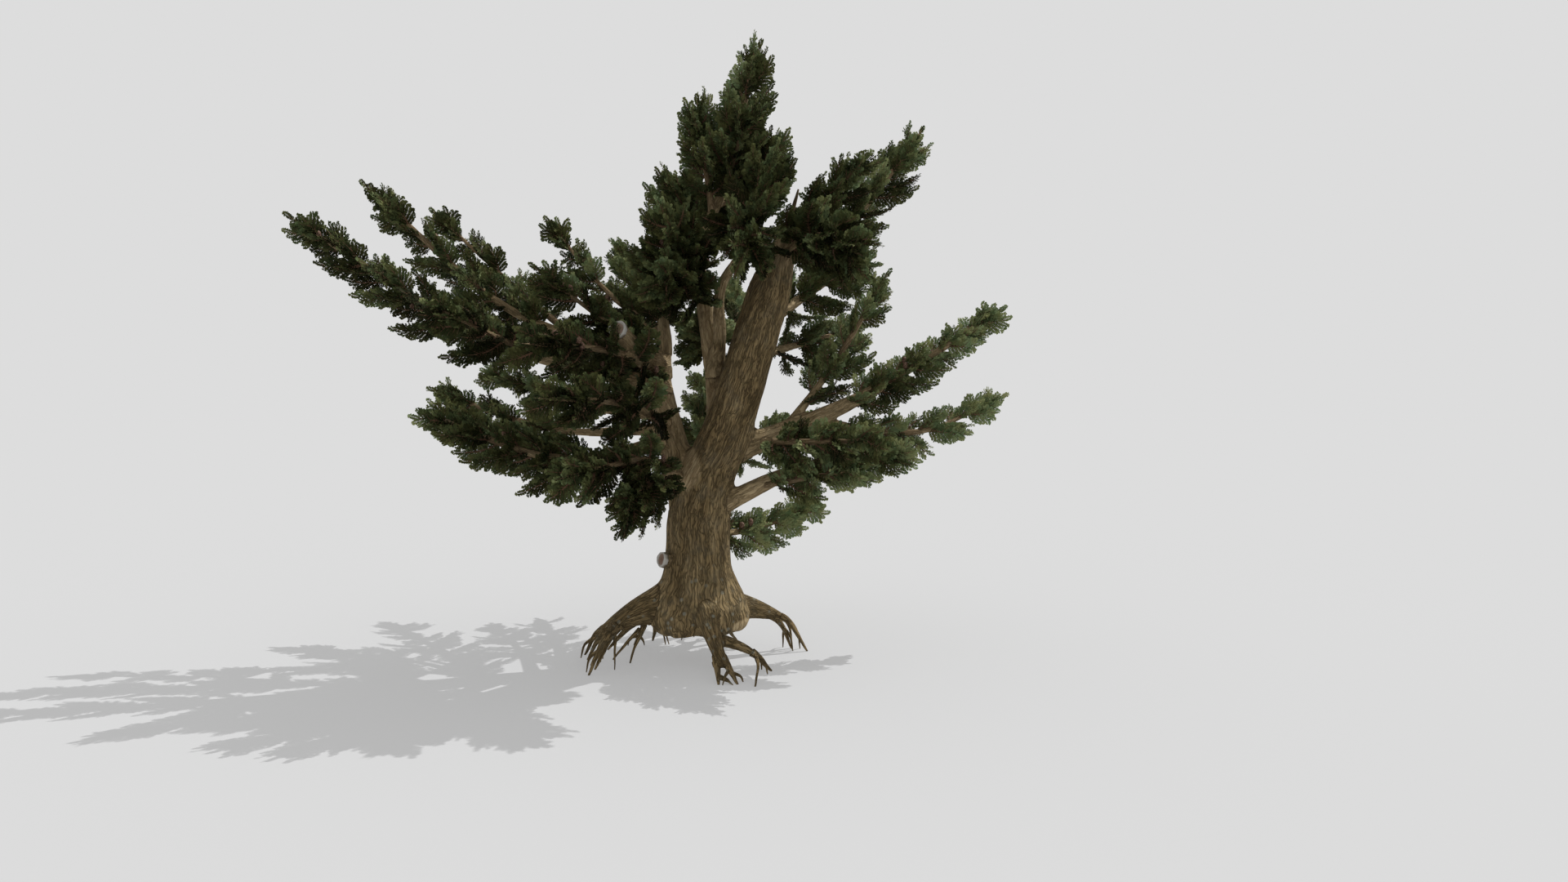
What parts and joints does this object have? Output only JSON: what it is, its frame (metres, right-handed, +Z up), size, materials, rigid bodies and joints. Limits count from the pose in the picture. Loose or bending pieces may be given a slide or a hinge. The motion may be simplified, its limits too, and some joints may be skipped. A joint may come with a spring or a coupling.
{
  "type": "cedar tree",
  "caption": "Old cedar with a thick leaning trunk on raised roots, forking leaders and long rising boughs of dark needles.",
  "frame": {"origin": "middle of the trunk's flat cut at ground level", "axes": "+Z up, +X toward the long right bough, -Y toward the front, which shows the bare leaning trunk"},
  "size_m": [16.8826, 12.6008, 14.7754],
  "materials": {
    "bark": "rough",
    "foliage": "satin"
  },
  "bodies": {
    "root": {"bough_back_left": "bark", "bough_back_low": "bark", "bough_back_middle": "bark", "bough_leader_inner": "bark", "bough_leader_left": "bark", "bough_leader_middle": "bark", "bough_left_high": "bark", "bough_left_long": "bark", "bough_left_low": "bark", "bough_left_low_back": "bark", "bough_left_low_middle": "bark", "bough_right_back": "bark", "bough_right_high": "bark", "bough_right_long": "bark", "bough_right_low": "bark", "bough_right_middle": "bark", "foliage_back_high": "foliage", "foliage_back_left": "foliage", "foliage_back_left_high": "foliage", "foliage_back_low": "foliage", "foliage_back_middle": "foliage", "foliage_back_right": "foliage", "foliage_crown_back": "foliage", "foliage_crown_front": "foliage", "foliage_crown_left": "foliage", "foliage_crown_left_front": "foliage", "foliage_front_high": "foliage", "foliage_front_low": "foliage", "foliage_front_middle": "foliage", "foliage_front_top": "foliage", "foliage_leader_inner": "foliage", "foliage_leader_left": "foliage", "foliage_leader_middle": "foliage", "foliage_left_high": "foliage", "foliage_left_high_side": "foliage", "foliage_left_inner": "foliage", "foliage_left_inner_front": "foliage", "foliage_left_long": "foliage", "foliage_left_long_front": "foliage", "foliage_left_low": "foliage", "foliage_left_low_back": "foliage", "foliage_left_low_middle": "foliage", "foliage_right_back": "foliage", "foliage_right_back_low": "foliage", "foliage_right_high": "foliage", "foliage_right_high_front": "foliage", "foliage_right_long": "foliage", "foliage_right_long_front": "foliage", "foliage_right_long_side": "foliage", "foliage_right_low": "foliage", "foliage_right_low_front": "foliage", "foliage_right_lowest": "foliage", "foliage_right_middle": "foliage", "foliage_skirt_front": "foliage", "foliage_skirt_left": "foliage", "foliage_top_front": "foliage", "foliage_top_left": "foliage", "foliage_top_right": "foliage", "trunk": "bark"}
  },
  "joints": []
}
